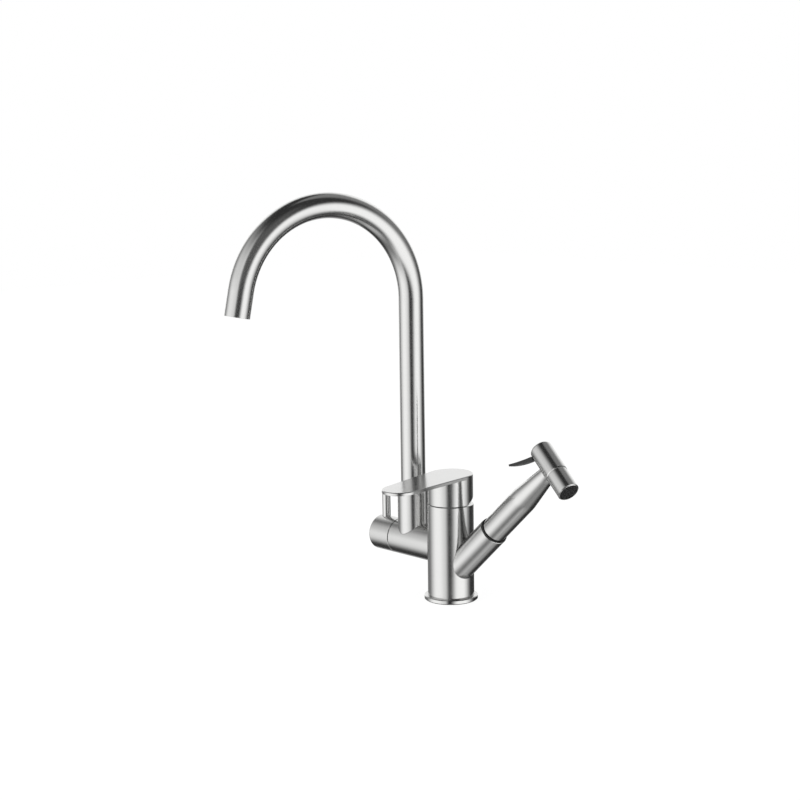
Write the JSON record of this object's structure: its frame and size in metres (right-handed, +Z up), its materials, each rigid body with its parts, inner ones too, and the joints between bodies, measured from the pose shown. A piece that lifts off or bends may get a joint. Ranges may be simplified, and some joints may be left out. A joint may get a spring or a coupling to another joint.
{
  "type": "side spray kitchen faucet",
  "caption": "Single-hole kitchen faucet with a lever, a swivelling gooseneck spout on a side branch, a stop valve and a hand spray parked in a slanted socket.",
  "frame": {"origin": "centre of the foot, on the deck", "axes": "+Z up along the column, the user at -Y, spray socket towards +X, side branch towards -X"},
  "size_m": [0.2581, 0.2163, 0.3858],
  "materials": {
    "brushed_steel": "satin brushed stainless steel",
    "polished_steel": "turned and polished stainless steel",
    "black_plastic": "moulded black plastic",
    "black_rubber": "moulded black rubber",
    "white_plastic": "natural acetal",
    "turned_brass": "turned brass",
    "copper_pipe": "drawn copper pipe",
    "ceramic": "lapped alumina ceramic"
  },
  "bodies": {
    "root": {"base_gasket": "black_rubber", "base_flange": "polished_steel", "base_insert": "turned_brass", "inlet_pipe_hot": "copper_pipe", "inlet_pipe_cold": "copper_pipe", "spray_feed_pipe": "copper_pipe", "mixer_column": "brushed_steel", "side_branch": "brushed_steel", "stop_disc_fixed": "ceramic", "headpart_body": "turned_brass", "spout_socket": "brushed_steel", "spout_lock_screw": "polished_steel", "spout_washer": "white_plastic", "spout_bearing": "white_plastic", "spray_socket": "brushed_steel", "socket_liner": "black_rubber", "cartridge_housing": "white_plastic", "ceramic_disc_fixed": "ceramic", "cartridge_nut": "turned_brass", "cartridge_dome": "polished_steel"},
    "cartridge_turn": {"cartridge_rotor": "white_plastic", "tilt_pin": "polished_steel"},
    "lever": {"lever_cap": "brushed_steel", "lever_stem": "turned_brass", "lever_grub_screw": "polished_steel", "lever_plug": "polished_steel"},
    "moving_disc": {"ceramic_disc_moving": "ceramic", "disc_carrier": "white_plastic"},
    "spout": {"spout_tube": "brushed_steel", "spout_foot": "turned_brass", "spout_seals": "black_rubber", "aerator_shell": "polished_steel", "aerator_screen": "black_plastic", "aerator_seal": "black_rubber"},
    "stop_knob": {"valve_knob": "brushed_steel", "knob_pin": "polished_steel", "knob_screw": "polished_steel", "valve_spindle": "turned_brass", "stop_disc_moving": "ceramic"},
    "hose_end": {"swivel_tail": "turned_brass"},
    "handset": {"handset_handle": "brushed_steel", "tail_clip": "polished_steel", "handset_head": "brushed_steel", "nozzle_sleeve": "brushed_steel", "spray_face": "black_plastic", "spray_seat": "black_rubber", "plunger_seal": "black_rubber", "spray_spring": "polished_steel", "trigger_pin": "polished_steel"},
    "plunger": {"spray_plunger": "turned_brass"},
    "trigger": {"spray_trigger": "black_plastic"}
  },
  "joints": [
    {"name": "lever_turn", "type": "hinge", "parent": "root", "child": "cartridge_turn", "pos_m": [0, 0, 0.084], "axis": [0, 0, 1], "range_deg": [-50, 50]},
    {"name": "lever_lift", "type": "hinge", "parent": "cartridge_turn", "child": "lever", "pos_m": [0, 0, 0.084], "axis": [-0.9947, -0.1028, 0], "range_deg": [0, 22]},
    {"name": "mixing_disc_slide", "type": "slide", "parent": "cartridge_turn", "child": "moving_disc", "axis": [0.1028, -0.9947, 0], "range_m": [0, 0.0037]},
    {"name": "spout_swivel", "type": "hinge", "parent": "root", "child": "spout", "pos_m": [-0.0506, 0, 0.1], "axis": [0, 0, 1], "continuous": true},
    {"name": "stop_valve_turn", "type": "hinge", "parent": "root", "child": "stop_knob", "pos_m": [-0.0895, 0, 0.0491], "axis": [1, 0, 0], "range_deg": [0, 90]},
    {"name": "handset_lift_out", "type": "slide", "parent": "root", "child": "hose_end", "axis": [0.7278, 0, 0.6858], "range_m": [0, 0.09]},
    {"name": "handset_twist", "type": "hinge", "parent": "hose_end", "child": "handset", "pos_m": [0.05699, 0, 0.0751], "axis": [0.7278, 0, 0.6858], "continuous": true},
    {"name": "trigger_press", "type": "hinge", "parent": "handset", "child": "trigger", "pos_m": [0.11928, 0.00377, 0.15816], "axis": [-0.1426, -0.9781, 0.1513], "range_deg": [0, 14]},
    {"name": "plunger_slide", "type": "slide", "parent": "handset", "child": "plunger", "axis": [0.7933, -0.2044, -0.5736], "range_m": [0, 0.00122], "stiffness_N_per_m": 300, "springref_m": -0.004, "deforming": ["spray_spring"]}
  ],
  "couplings": [
    {"joint": "mixing_disc_slide", "follows": "lever_lift", "m_per_rad": 0.00927},
    {"joint": "trigger_press", "follows": "plunger_slide", "rad_per_m": 200}
  ]
}
